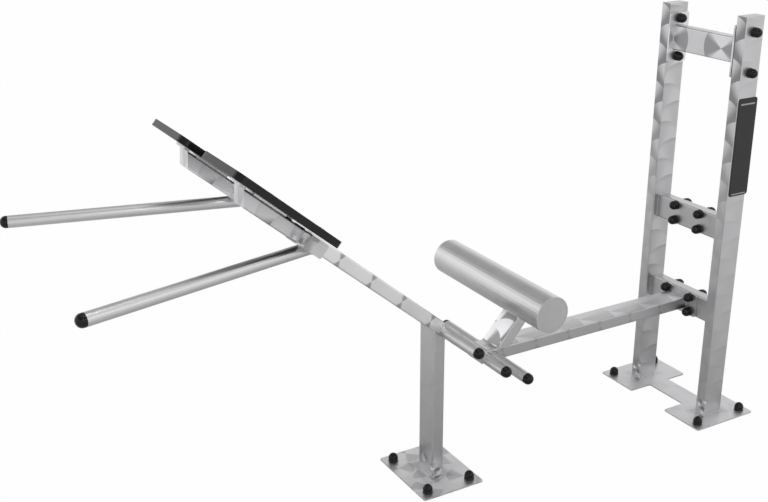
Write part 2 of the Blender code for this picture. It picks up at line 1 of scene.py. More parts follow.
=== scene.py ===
"""Looks of an outdoor hyperextension bench, laid out as a Blender add-on.

The packed CAD model is the fixed frame. Steel nodes and boards keep their meshes and get ground
steel, satin steel or black plastic; caps, plugs, screws, weld beads and the bare sign are made here.
A place on the slope is (up, side, above): up the slope, Y, and height square to the slope.
"""

import math
from collections import namedtuple

import bmesh
import bpy
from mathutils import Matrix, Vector


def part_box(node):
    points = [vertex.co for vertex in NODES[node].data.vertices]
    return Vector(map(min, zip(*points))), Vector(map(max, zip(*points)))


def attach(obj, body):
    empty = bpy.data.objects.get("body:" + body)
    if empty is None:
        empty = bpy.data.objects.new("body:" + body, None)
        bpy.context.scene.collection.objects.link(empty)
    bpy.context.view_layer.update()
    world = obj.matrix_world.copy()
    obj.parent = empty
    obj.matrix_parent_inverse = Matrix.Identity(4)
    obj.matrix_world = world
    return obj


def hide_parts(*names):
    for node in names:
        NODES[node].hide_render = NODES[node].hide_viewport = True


bl_info = {
    "name": "Hyperextension bench",
    "version": (1, 0, 0),
    "blender": (4, 5, 0),
    "location": "3D View > Sidebar > Bench",
    "description": "Steel, caps, boards, welds and studio for the packed hyperextension bench",
    "category": "Object",
}

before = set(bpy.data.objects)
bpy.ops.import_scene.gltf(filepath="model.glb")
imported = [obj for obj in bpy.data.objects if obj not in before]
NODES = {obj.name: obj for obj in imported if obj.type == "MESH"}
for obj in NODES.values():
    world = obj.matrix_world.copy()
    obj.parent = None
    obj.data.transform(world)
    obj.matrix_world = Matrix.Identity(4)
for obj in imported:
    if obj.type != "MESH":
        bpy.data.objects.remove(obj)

# Sizes of the packed model that pieces are set against, in metres
GAP = 0.0003
SLOPE = math.radians(40.2)
TUBE_WIDTH = 0.080
TUBE_DEPTH = 0.040
TUBE_CORNER = 0.005
ROUND_TUBE_RADIUS = 0.01685
PLATE_TOP = 0.005
POST_HEIGHT = 0.484
BOOM_UNDER = POST_HEIGHT * math.cos(SLOPE)
BOOM_MIDDLE = BOOM_UNDER + TUBE_DEPTH / 2
BOOM_TOP = BOOM_UNDER + TUBE_DEPTH
BEAM_Z = 0.370
BEAM_TOP_Z = BEAM_Z + TUBE_DEPTH / 2
MITRE_X = (BOOM_MIDDLE - BEAM_Z * math.cos(SLOPE)) / math.sin(SLOPE)
FOOT_TUBE_SPAN = 0.431
LOWER_FOOT_X = 0.1953
FOOT_UPS = (0.1793, 0.3086)
ARM_UP = 0.0699
ROLLER_UP = 0.2014
ROLLER_ABOVE = 0.5977
ROLLER_RADIUS = 0.056
CROSS_TUBE_UP = 0.9576
FORK_TUBE_WIDTH = 0.060
FORK_DROP = 0.005
FORK_TOP = BOOM_TOP - FORK_DROP
FORK_MIDDLE = FORK_TOP - TUBE_DEPTH / 2
RAIL_SIDE = 0.187
BOARD_THICKNESS = 0.020
BOARD_TOP = BOOM_TOP + GAP + BOARD_THICKNESS
HANDLE_Z = 0.9155
HANDLE_ROOT_Y = 0.2189
HANDLE_LENGTH = 0.608
HANDLE_SPREAD = math.radians(13.6)
LADDER_X = 1.0286
UPRIGHT_Y = 0.1621
BEAM_END_X = LADDER_X - 0.0264
LOWER_BAR_Z = BEAM_Z
MIDDLE_BAR_Z = 0.668
BAR_END_Y = UPRIGHT_Y - TUBE_DEPTH / 2
TOP_BAR_Z = 1.250
TOP_BAR_END_Y = UPRIGHT_Y - 0.0263
SIGN_BOTTOM_Z = 0.7905
SIGN_X = LADDER_X + 0.0045
SIGNS = (-1, 1)
SIDES = (("left", -1), ("right", 1))

# Up and side of the right board's screws
SCREWS = ((CROSS_TUBE_UP + 0.030, 0.110), (CROSS_TUBE_UP + 0.030, 0.232), (1.1360, RAIL_SIDE))

# Marks of a grinding disc along one side of a tube, toned with painted highlight and painted shade
# for the sheen of the ground rings: place of a disc's centre, how much they show, direction of the
# painted light wedges, their share, gain of the steel's colour (painted lighter or darker per face
# for how it catches the light), darkness of a disc's rim (painted shade), how far the centres stand
# off the middle line by turns, pitch and radius in those of the settings, and the place along the
# tube below which the painted highlights fade, as reflections of the floor darken them.
MarksAndSheen = namedtuple("MarksAndSheen", "phase strength turn share gain rim side pitch size fade",
                   defaults=(0.05, 0.15, 1.5, 0.3, 1.0, 0.0, 0.0, 1.0, 1.0, -10.0))

# Ground steel: its tone between the marks, softness of a painted highlight wedge's border, share of
# the radius where a disc's painted darker rim starts, way over which the painted highlights fade, and
# fine rings per metre of a disc's radius
BASE_TONE = 0.70
WEDGE_BORDER = 0.42
RIM_START = 0.84
FADE_WAY = 0.3
RING_DENSITY = 520

# Depths of the fine bump and of ground dents, and how a plate is smoother beside a tube's foot and
# painted darker there, a painted reflection of the tube: over this way, and by this much tone and
# roughness
FINE_DEPTH = 0.0004
DENT_DEPTH = 0.0055
POLISH_AND_SHADE_WAY = (0.004, 0.040)
FOOT_SHADE_TONE = 0.22
POLISH_ROUGHNESS = 0.26

AXIS_X = Vector((1, 0, 0))
AXIS_Y = Vector((0, 1, 0))
AXIS_Z = Vector((0, 0, 1))
UP_SLOPE = Vector((-math.cos(SLOPE), 0, math.sin(SLOPE)))
OFF_SLOPE = Vector((math.sin(SLOPE), 0, math.cos(SLOPE)))


def on_slope(up, side, above):
    """Place of a point given on the slope."""
    return UP_SLOPE * up + AXIS_Y * side + OFF_SLOPE * above


def metres(name, description, default):
    """Property of a size."""
    return bpy.props.FloatProperty(name=name, description=description, default=default, unit="LENGTH")


def rgb(name, description, default):
    """Property of a colour."""
    return bpy.props.FloatVectorProperty(
        name=name, description=description, default=default, subtype="COLOR", min=0, max=1)


def factor(name, description, default):
    """Property of a share between 0 and 1."""
    return bpy.props.FloatProperty(
        name=name, description=description, default=default, subtype="FACTOR", min=0, max=1)


class GroundSteelSettings(bpy.types.PropertyGroup):
    """Steel ground with a disc, on rectangular tubes and plates."""

    # The light and dark wedges are painted highlight and painted shade: the sheen of the ground rings,
    # put into the colour.
    light: rgb("Light wedges", "Colour of the steel where a disc's marks run along it",
               (0.76, 0.76, 0.77))
    dark: rgb("Dark wedges", "Colour of the steel where a disc's marks run across it",
              (0.27, 0.27, 0.28))
    roughness: factor("Roughness", "Roughness of the ground faces", 0.34)
    disc_pitch: metres("Disc pitch", "Distance between the marks of two discs", 0.1295)
    disc_radius: metres("Disc radius", "Radius of one disc's marks", 0.122)


class SatinSteelSettings(bpy.types.PropertyGroup):
    """Brushed steel of the round tubes and the roller."""

    colour: rgb("Colour", "Colour of the round tubes", (0.61, 0.61, 0.615))
    roughness: factor("Roughness", "Roughness of the round tubes", 0.32)


class CapSettings(bpy.types.PropertyGroup):
    """Black dome caps over bolts, and plugs in tube ends."""

    colour: rgb("Colour", "Colour of the moulded plastic", (0.002, 0.002, 0.0022))
    cap_radius: metres("Cap radius", "Radius of a bolt's cap", 0.0152)
    cap_skirt: metres("Cap skirt", "Height of the cap's straight part", 0.010)
    cap_dome: metres("Cap dome", "Height of the cap's dome", 0.017)
    plug_rim: metres("Plug rim", "Height of a plug's straight part", 0.005)
    plug_dome: metres("Plug dome", "Height of a plug's dome", 0.016)
    ring_depth: metres("Ring depth", "Depth of the moulded rings", 0.0007)


class BoardSettings(bpy.types.PropertyGroup):
    """Two thigh boards and their screws."""

    colour: rgb("Colour", "Colour of the boards", (0.005, 0.005, 0.0055))
    roughness: factor("Roughness", "Roughness of the boards", 0.15)
    screw_radius: metres("Screw radius", "Radius of a screw's head", 0.0085)
    screw_height: metres("Screw height", "Height of a screw's head", 0.0028)


class WeldSettings(bpy.types.PropertyGroup):
    """Weld beads along the joints."""

    bead: metres("Bead radius", "Radius of a weld bead", 0.0019)
    ripple: metres("Ripple pitch", "Distance between two ripples of a bead", 0.0036)


class SignSettings(bpy.types.PropertyGroup):
    """Bare sign on the near upright."""

    width: metres("Width", "Width of the sign", 0.081)
    height: metres("Height", "Height of the sign", 0.3185)
    thickness: metres("Thickness", "Thickness of the sign", 0.002)
    corner: metres("Corner", "Radius of the sign's corners", 0.009)
    colour: rgb("Colour", "Colour of the sign", (0.019, 0.019, 0.020))
    bar: rgb("Bars", "Colour of the two plain bars on the sign", (0.36, 0.36, 0.36))


class StageSettings(bpy.types.PropertyGroup):
    """Floor, light and camera."""

    floor: rgb("Floor", "Colour of the floor", (0.62, 0.62, 0.62))
    lens: bpy.props.FloatProperty(
        name="Lens", description="Focal length of the camera, in millimetres", default=52.19,
        unit="CAMERA")


SETTINGS = {
    "bench_ground_steel": GroundSteelSettings,
    "bench_satin_steel": SatinSteelSettings,
    "bench_caps": CapSettings,
    "bench_boards": BoardSettings,
    "bench_welds": WeldSettings,
    "bench_sign": SignSettings,
    "bench_stage": StageSettings,
}


class Wire:
    """Output of a node; sums on wires add nodes to its tree."""

    def __init__(self, tree, socket):
        self.tree = tree
        self.socket = socket

    def of(self, name):
        """Another output of the same node."""
        return Wire(self.tree, self.socket.node.outputs[name])

    def math(self, operation, *values):
        """Math node with these values."""
        return self.tree.node("ShaderNodeMath", {"operation": operation}, dict(enumerate(values)))

    def __add__(self, other):
        return self.math("ADD", self, other)

    def __radd__(self, other):
        return self.math("ADD", other, self)

    def __sub__(self, other):
        return self.math("SUBTRACT", self, other)

    def __rsub__(self, other):
        return self.math("SUBTRACT", other, self)

    def __mul__(self, other):
        return self.math("MULTIPLY", self, other)

    def __rmul__(self, other):
        return self.math("MULTIPLY", other, self)

    def __truediv__(self, other):
        return self.math("DIVIDE", self, other)

    def __gt__(self, other):
        return self.math("GREATER_THAN", self, other)

    def __lt__(self, other):
        return self.math("LESS_THAN", self, other)

    def __abs__(self):
        return self.math("ABSOLUTE", self)

    def one(self, operation):
        """Math node of one value, such as SINE."""
        return self.math(operation, self)

    def vector(self, operation, other, output=0):
        """Vector Math node on this vector and another."""
        return self.tree.node("ShaderNodeVectorMath", {"operation": operation},
                              {0: self, 1: other}, output)

    def minus(self, point):
        """Vector from a point to this one."""
        return self.vector("SUBTRACT", point)

    def scaled(self, sizes):
        """This vector, stretched along each axis."""
        return self.vector("MULTIPLY", sizes)

    def dot(self, direction):
        """Length of this vector along a direction."""
        return self.vector("DOT_PRODUCT", direction, "Value")

    def away(self, point):
        """Distance of this place from a point."""
        return self.vector("DISTANCE", point, "Value")

    def scaled_by(self, factor):
        """This vector or colour, made larger or smaller."""
        return self.tree.node("ShaderNodeVectorMath", {"operation": "SCALE"},
                              {0: self, "Scale": factor})


class Tree:
    """Node tree that is filled by calls."""

    def __init__(self, node_tree):
        self.nodes = node_tree.nodes
        self.links = node_tree.links

    def feed(self, socket, value):
        """Link a wire to a socket, or set the socket's own value."""
        if isinstance(value, Wire):
            self.links.new(value.socket, socket)
        elif socket.type == "RGBA":
            socket.default_value = (*value[:3], 1)
        else:
            socket.default_value = value

    def node(self, kind, settings=None, sockets=None, output=0):
        """Add a node with its settings and the values or links of its sockets."""
        made = self.nodes.new(kind)
        for name, value in (settings or {}).items():
            setattr(made, name, value)
        for name, value in (sockets or {}).items():
            self.feed(made.inputs[name], value)
        return Wire(self, made.outputs[output])

    def smooth(self, value, low, high, start=0.0, end=1.0):
        """Soft step from start to end as the value goes from low to high."""
        return self.node("ShaderNodeMapRange", {"interpolation_type": "SMOOTHSTEP"},
                         {"Value": value, "From Min": low, "From Max": high,
                          "To Min": start, "To Max": end})

    def blend(self, factor, first, second):
        """Number between two numbers."""
        return self.node("ShaderNodeMix", {"data_type": "FLOAT"}, {0: factor, 2: first, 3: second})

    def blend_colour(self, factor, first, second):
        """Colour between two colours."""
        return self.node("ShaderNodeMix", {"data_type": "RGBA"}, {0: factor, 6: first, 7: second}, 2)

    def noise(self, vector, scale, detail=2.0, roughness=0.5):
        """Cloudy pattern from 0 to 1."""
        return self.node("ShaderNodeTexNoise", {"noise_dimensions": "3D"},
                         {"Vector": vector, "Scale": scale, "Detail": detail, "Roughness": roughness})

    def end(self, kind, shader):
        """Output node of a shader tree."""
        self.feed(self.nodes.new(kind).inputs["Surface"], shader)


def new_tree(owner):
    """Empty tree of a material or a world."""
    owner.use_nodes = True
    owner.node_tree.nodes.clear()
    return Tree(owner.node_tree)


def new_material(name):
    """Empty material with its tree, its Principled shader and the object's coordinates."""
    material = bpy.data.materials.new(name)
    tree = new_tree(material)
    shader = tree.node("ShaderNodeBsdfPrincipled")
    tree.end("ShaderNodeOutputMaterial", shader)
    place = tree.node("ShaderNodeTexCoord", None, None, "Object")
    return material, tree, shader.socket.node.inputs, place


def give(node_name, material):
    """Put a material on a CAD node."""
    node = NODES[node_name]
    if not node.material_slots:
        node.data.materials.append(material)
    for slot in node.material_slots:
        slot.material = material


def disc_mark_sheen(tree, along, across, radius, turn, share):
    """Tone of one disc's marks round a centre, 0 dark to 1 light, and the distance from the centre.

    The tone is a painted highlight for the sheen of the ground rings: light along the turn and dark
    across it, and darker towards a disc's rim; share moves the border between the two.
    """
    distance = (along * along + across * across).one("SQRT")
    angle = along.math("ARCTAN2", across, along)
    bow = ((angle - turn) * 2).one("COSINE") + share
    tone = tree.smooth(bow, -WEDGE_BORDER, WEDGE_BORDER)
    fading = tree.smooth(distance / radius, 0.1, 1.1, 1.0, 0.86)
    return tone * fading, distance


def disc_rings(tree, distance, shift):
    """Fine rings round a disc's centre; the shift gives each disc rings of its own."""
    return tree.node("ShaderNodeTexNoise", {"noise_dimensions": "1D"},
                     {"W": distance * RING_DENSITY + shift, "Scale": 1.0, "Detail": 2.0})


def disc_row(tree, along, across, pitch, radius, side):
    """Place in the disc that is seen in a row of overlapping discs, from its centre, and its number.

    Of all discs that reach a place the lowest is seen. The centres stand off the middle line by
    side, to one hand and the other by turns.
    """
    numbers = []
    for start, offset in ((0, side), (1, 0 - side)):
        reach = across - offset
        square = radius * radius - reach * reach
        chord = square.math("MAXIMUM", square, 0.0).one("SQRT")
        numbers.append(((along / pitch - chord / pitch - start) / 2).one("CEIL") * 2 + start)
    number = numbers[0].math("MINIMUM", *numbers)
    even = numbers[0] < numbers[1]
    return along - number * pitch, across - (even * 2 - 1) * side, number


def finish(tree, shader, colour, roughness, height, strength, depth, metallic=1.0, dents=None):
    """Feed a shader its colour, roughness, bump of this depth in metres, and ground dents."""
    shader["Metallic"].default_value = metallic
    tree.feed(shader["Base Color"], colour)
    tree.feed(shader["Roughness"], roughness)
    bump = tree.node("ShaderNodeBump", None,
                     {"Strength": strength, "Distance": depth, "Height": height})
    if dents:
        bump = tree.node("ShaderNodeBump", None,
                         {"Strength": 1.0, "Distance": DENT_DEPTH, "Height": dents, "Normal": bump})
    tree.feed(shader["Normal"], bump)


def tinted(colour, gain):
    """Colour made lighter or darker."""
    return tuple(min(1.0, gain * part) for part in colour)


def dress_tube(name, centre, axis, wide, deep, broad, narrow=MarksAndSheen(), dents=()):
    """Put ground steel on a rectangular tube, its disc marks toned with painted highlight and painted
    shade.

    The tube runs along its axis and is wide and deep along the other two directions; broad and
    narrow are the marks on its two kinds of sides, and dents are points with the size of each.
    """
    settings = bpy.context.scene.bench_ground_steel
    material, tree, shader, place = new_material(name)
    spot = place.minus(centre)
    normal = tree.node("ShaderNodeNewGeometry", None, None, "Normal")
    is_narrow = abs(normal.dot(wide)) > abs(normal.dot(deep))
    here = MarksAndSheen(*[a if a == b else tree.blend(is_narrow, a, b) for a, b in zip(broad, narrow)])
    pitch, radius = settings.disc_pitch * here.pitch, settings.disc_radius * here.size
    along = spot.dot(axis) - here.phase
    across = tree.blend(is_narrow, spot.dot(wide), spot.dot(deep))
    along, across, number = disc_row(tree, along, across, pitch, radius, here.side)
    tone, distance = disc_mark_sheen(tree, along, across, radius, here.turn, here.share)
    # Painted shade: each disc darker at its rim.
    tone = tone - tree.smooth(distance / radius, RIM_START, 1.0) * here.rim
    # Painted highlights fade below the fade place, where the faces mirror the darker floor.
    reach = spot.dot(axis) - here.fade
    strength = tree.smooth(reach, -FADE_WAY, FADE_WAY, 0.12, 1.0) * here.strength
    rings = disc_rings(tree, distance, number * 17.3)
    cloud = tree.noise(place, 9.0)
    share = tree.blend(strength, BASE_TONE, tone) + (rings - 0.5) * 0.08 + (cloud - 0.5) * 0.12
    colour = tree.blend_colour(clamp(share), settings.dark, settings.light)
    depth = None
    for point, size in dents:
        dent = tree.smooth(place.away(point), 0.0, size, -1.0, 0.0)
        depth = depth + dent if depth else dent
    roughness = settings.roughness + (cloud - 0.5) * 0.10
    # The gain paints each kind of side lighter or darker for how it catches the light.
    finish(tree, shader, colour.scaled_by(here.gain), roughness, rings, 0.10, FINE_DEPTH, dents=depth)
    give(name, material)


def dress_plate(name, centre, first, second, discs, strength, gain, rougher=0.04, wedges=0.25,
                foot=None):
    """Put ground steel on a flat plate, with single disc marks laid over each other.

    A disc is its centre along both directions, its radius and the turn of its painted light wedges, a
    painted highlight. A foot is half a tube's size along both and its distance from the middle; the
    plate is smoother beside it and painted a little darker there, a painted reflection of the tube. The
    gain paints the plate lighter or darker for how it catches the light.
    """
    settings = bpy.context.scene.bench_ground_steel
    material, tree, shader, place = new_material(name)
    spot = place.minus(centre)
    x, y = spot.dot(first), spot.dot(second)
    cloud = tree.noise(place, 14.0, 3.0)
    tone = BASE_TONE + (cloud - 0.5) * 0.3
    rings = cloud
    for number, (disc_x, disc_y, radius, turn) in enumerate(discs):
        mark, distance = disc_mark_sheen(tree, x - disc_x, y - disc_y, radius, turn, wedges)
        inside = distance < radius
        tone = tree.blend(inside, tone, mark)
        rings = tree.blend(inside, rings, disc_rings(tree, distance, number * 11.1))
    share = BASE_TONE + (tone - BASE_TONE) * strength + (rings - 0.5) * 0.06
    roughness = settings.roughness + rougher
    if foot:
        half_x, half_y, middle = foot
        beside = abs(x) - half_x
        beside = beside.math("MAXIMUM", beside, abs(abs(y) - middle) - half_y)
        near = tree.smooth(beside, *POLISH_AND_SHADE_WAY, 1.0, 0.0)
        # Painted reflection of the tube: darker beside its foot.
        share = share - near * FOOT_SHADE_TONE
        roughness = roughness - near * POLISH_ROUGHNESS
    # The gain paints the plate lighter or darker for how it catches the light.
    colour = tree.blend_colour(clamp(share), tinted(settings.dark, gain), tinted(settings.light, gain))
    finish(tree, shader, colour, roughness + (cloud - 0.5) * 0.10, rings, 0.10, FINE_DEPTH)
    give(name, material)


def satin_steel(name, centre, axis, second, third, roughness, scratch, gain=1.0):
    """Brushed steel with fine scratches square to an axis; scratch is how close they lie."""
    settings = bpy.context.scene.bench_satin_steel
    material, tree, shader, place = new_material(name)
    spot = place.minus(centre)
    vector = tree.node("ShaderNodeCombineXYZ", None,
                       {0: spot.dot(axis) * scratch, 1: spot.dot(second) * 30, 2: spot.dot(third) * 30})
    scratches = tree.noise(vector, 1.0, 4.0, 0.6)
    cloud = tree.noise(place, 16.0, 3.0)
    share = 0.5 + (scratches - 0.5) * 0.9 + (cloud - 0.5) * 0.5
    dark, light = tinted(settings.colour, 0.86 * gain), tinted(settings.colour, 1.10 * gain)
    colour = tree.blend_colour(share, dark, light)
    finish(tree, shader, colour, roughness + (cloud - 0.5) * 0.12, scratches, 0.16, FINE_DEPTH)
    return material


def bead_steel():
    """Bright, slightly tinted steel of the weld beads."""
    material, tree, shader, place = new_material("weld_steel")
    cloud = tree.noise(place, 260.0)
    heat = tree.noise(place, 30.0)
    colour = tree.blend_colour(heat, (0.44, 0.43, 0.41), (0.64, 0.64, 0.65))
    finish(tree, shader, colour, 0.26 + cloud * 0.14, cloud, 0.2, 0.0005)
    return material


def black_plastic(name, colour, roughness, shine, grain=900.0, depth=0.00005, bars=None):
    """Moulded black plastic with a fine grain of this scale and depth, and the sign's plain bars.

    Bars are their heights and half thicknesses, their reach beside the middle and their colour.
    """
    material, tree, shader, place = new_material(name)
    fine = tree.noise(place, grain, 3.0, 0.6)
    cloud = tree.noise(place, 22.0, 3.0)
    shade = tree.blend_colour(cloud, tinted(colour, 0.75), tinted(colour, 1.35))
    if bars:
        heights, reach, paint = bars
        level, beside = place.dot(AXIS_Z), abs(place.dot(AXIS_X) - SIGN_X)
        for height, half in heights:
            bar = tree.smooth(abs(level - height), half, half + 0.0004, 1.0, 0.0) * (beside < reach)
            shade = tree.blend_colour(bar, shade, paint)
    shader["Specular IOR Level"].default_value = shine
    uneven = roughness + (cloud - 0.5) * 0.06 + (fine - 0.5) * 0.05
    finish(tree, shader, shade, uneven, fine, 0.2, depth, metallic=0.0)
    return material


def new_group(name, titles):
    """Geometry tree with inputs for a geometry, numbers and a material, and a geometry output."""
    group = bpy.data.node_groups.new(name, "GeometryNodeTree")
    numbers = [(title, "Float") for title in titles]
    for title, kind in (("Geometry", "Geometry"), *numbers, ("Material", "Material")):
        group.interface.new_socket(title, in_out="INPUT", socket_type="NodeSocket" + kind)
    group.interface.new_socket("Geometry", in_out="OUTPUT", socket_type="NodeSocketGeometry")
    tree = Tree(group)
    return group, tree, tree.node("NodeGroupInput")


def close_group(group, tree, start, shape):
    """End a geometry tree with its instances made real and its material set."""
    real = tree.node("GeometryNodeRealizeInstances", None, {"Geometry": shape})
    made = tree.node("GeometryNodeSetMaterial", None,
                     {"Geometry": real, "Material": start.of("Material")})
    tree.feed(group.nodes.new("NodeGroupOutput").inputs["Geometry"], made)
    return group


def linked(name, data):
    """New object in the scene."""
    piece = bpy.data.objects.new(name, data)
    bpy.context.scene.collection.objects.link(piece)
    return piece


def plain_mesh(source, group, values, name):
    """Object at the origin with the mesh that a geometry tree makes of the source."""
    modifier = source.modifiers.new(group.name, "NODES")
    modifier.node_group = group
    for item in group.interface.items_tree:
        if item.in_out == "INPUT" and item.name in values:
            modifier[item.identifier] = values[item.name]
    graph = bpy.context.evaluated_depsgraph_get()
    mesh = bpy.data.meshes.new_from_object(source.evaluated_get(graph))
    source.modifiers.clear()
    bpy.data.objects.remove(source)
    mesh.name = name
    return linked(name, mesh)


def dome_group():
    """Geometry tree that stands a turned dome with moulded rings on each point, along its facing."""
    titles = ("Radius", "Skirt", "Dome", "Flare", "Ring Depth")
    group, tree, start = new_group("domes", titles)
    radius, skirt, dome, flare, ring_depth = [start.of(title) for title in titles]
    side_start, crown_start, rings, ring_width = 0.08, 0.60, 3, 0.35
    grid = tree.node("GeometryNodeMeshGrid", None,
                     {"Size X": 1.0, "Size Y": 1.0, "Vertices X": 33, "Vertices Y": 45})
    spot = tree.node("GeometryNodeInputPosition")
    parts = tree.node("ShaderNodeSeparateXYZ", None, {0: spot})
    turn = (parts.of("X") + 0.5) * math.tau
    row = parts.of("Y") + 0.5
    under = clamp(row / side_start)
    side = clamp((row - side_start) / (crown_start - side_start))
    crown = clamp((row - crown_start) / (1 - crown_start)) * (math.pi / 2)
    wave = clamp((side * (rings * math.tau)).one("COSINE") * -1 - ring_width) * (side < 0.999)
    spread = clamp(1 - side * 4)
    reach = under * crown.one("COSINE") * (radius + flare * spread - ring_depth * wave)
    rise = skirt * side + dome * crown.one("SINE")
    shape = tree.node("ShaderNodeCombineXYZ", None,
                      {0: reach * turn.one("COSINE"), 1: reach * turn.one("SINE"), 2: rise})
    placed = tree.node("GeometryNodeSetPosition", None, {"Geometry": grid, "Position": shape})
    closed = tree.node("GeometryNodeMergeByDistance", None, {"Geometry": placed, "Distance": 0.00002})
    smooth = tree.node("GeometryNodeSetShadeSmooth", None, {"Geometry": closed})
    facing = tree.node("GeometryNodeInputNamedAttribute", {"data_type": "FLOAT_VECTOR"},
                       {"Name": "facing"})
    turned = tree.node("FunctionNodeAlignRotationToVector", {"axis": "Z"}, {"Vector": facing})
    copies = tree.node("GeometryNodeInstanceOnPoints", None,
                       {"Points": start, "Instance": smooth, "Rotation": turned})
    return close_group(group, tree, start, copies)


def clamp(value):
    """Wire held between 0 and 1."""
    return value.math("MINIMUM", value.math("MAXIMUM", value, 0.0), 1.0)


def into_mesh(work, mesh):
    """Write a working mesh, with its faces turned outwards, into a mesh."""
    bmesh.ops.recalc_face_normals(work, faces=work.faces)
    work.to_mesh(mesh)
    work.free()


def domes(name, seats, values, material):
    """One piece made of equal domes, each on the point of its seat and along its direction."""
    points = bpy.data.meshes.new(name + "_points")
    points.from_pydata([spot for spot, _ in seats], [], [])
    facing = points.attributes.new("facing", "FLOAT_VECTOR", "POINT")
    for item, (_, direction) in zip(facing.data, seats):
        item.vector = direction
    group = bpy.data.node_groups.get("domes") or dome_group()
    piece = plain_mesh(linked(points.name, points), group, {**values, "Material": material}, name)
    work = bmesh.new()
    work.from_mesh(piece.data)
    into_mesh(work, piece.data)
    return piece


def bolt_ends(name):
    """The two cap seats of a through bolt, from its CAD node's box."""
    low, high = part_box(name)
    size = high - low
    axis = max(range(3), key=lambda index: size[index])
    settings = bpy.context.scene.bench_caps
    middle = (low + high) / 2
    direction = Vector([float(index == axis) for index in range(3)])
    reach = size[axis] / 2 - (settings.cap_skirt + settings.cap_dome)
    return [(middle + direction * sign * reach, direction * sign) for sign in SIGNS]


def anchor_seat(name):
    """Cap seat of an anchor, from its CAD node's box."""
    low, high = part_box(name)
    return ((low.x + high.x) / 2, (low.y + high.y) / 2, PLATE_TOP), (0, 0, 1)


def handle_line(sign):
    """Point where a handle's axis meets the cross tube's underside, and its direction."""
    x = (FORK_TOP - TUBE_DEPTH - HANDLE_Z * math.cos(SLOPE)) / math.sin(SLOPE)
    direction = Vector((-math.cos(HANDLE_SPREAD), sign * math.sin(HANDLE_SPREAD), 0))
    return Vector((x, sign * HANDLE_ROOT_Y, HANDLE_Z)), direction


def plug_seats():
    """Plug seats in the ends of the foot tubes and handles."""
    seats = []
    for name in sorted(NODES):
        if name.startswith("foot_plug"):
            low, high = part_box(name)
            sign = -1 if name.endswith("left") else 1
            middle = (low + high) / 2
            spot = Vector((middle.x, sign * FOOT_TUBE_SPAN / 2, middle.z))
            seats.append((spot, Vector((0, sign, 0))))
    for sign in SIGNS:
        root, direction = handle_line(sign)
        seats.append((root + direction * HANDLE_LENGTH, direction))
    return seats


def rounded(width, height, corner, steps=5):
    """Points round a rectangle with rounded corners."""
    outline = []
    for quarter, (x, y) in enumerate(((1, 1), (-1, 1), (-1, -1), (1, -1))):
        centre = (x * (width / 2 - corner), y * (height / 2 - corner))
        for step in range(steps + 1):
            angle = math.pi / 2 * (quarter + step / steps)
            outline.append((centre[0] + corner * math.cos(angle), centre[1] + corner * math.sin(angle)))
    return outline


def ring(radius, steps=32):
    """Points round a circle."""
    return [(radius * math.cos(math.tau * step / steps), radius * math.sin(math.tau * step / steps))
            for step in range(steps)]


def cut_loop(outline, centre, axes, point, normal):
    """Outline of a tube where a plane cuts it; the axes are the outline's two and the tube's own."""
    first, second, axis = axes
    loop = []
    for x, y in outline:
        start = Vector(centre) + first * x + second * y
        loop.append(start + axis * ((Vector(point) - start).dot(normal) / axis.dot(normal)))
    return loop


def saddle_loop(outline, centre, axes, roller):
    """Outline of a tube where it meets the roller, whose centre is given."""
    first, second, axis = axes
    loop = []
    for x, y in outline:
        start = Vector(centre) + first * x + second * y
        gap = start - roller
        gap.y = 0
        half = gap.dot(axis)
        deep = max(0, half * half - gap.length_squared + ROLLER_RADIUS * ROLLER_RADIUS)
        loop.append(start - axis * (half + math.sqrt(deep)))
    return loop


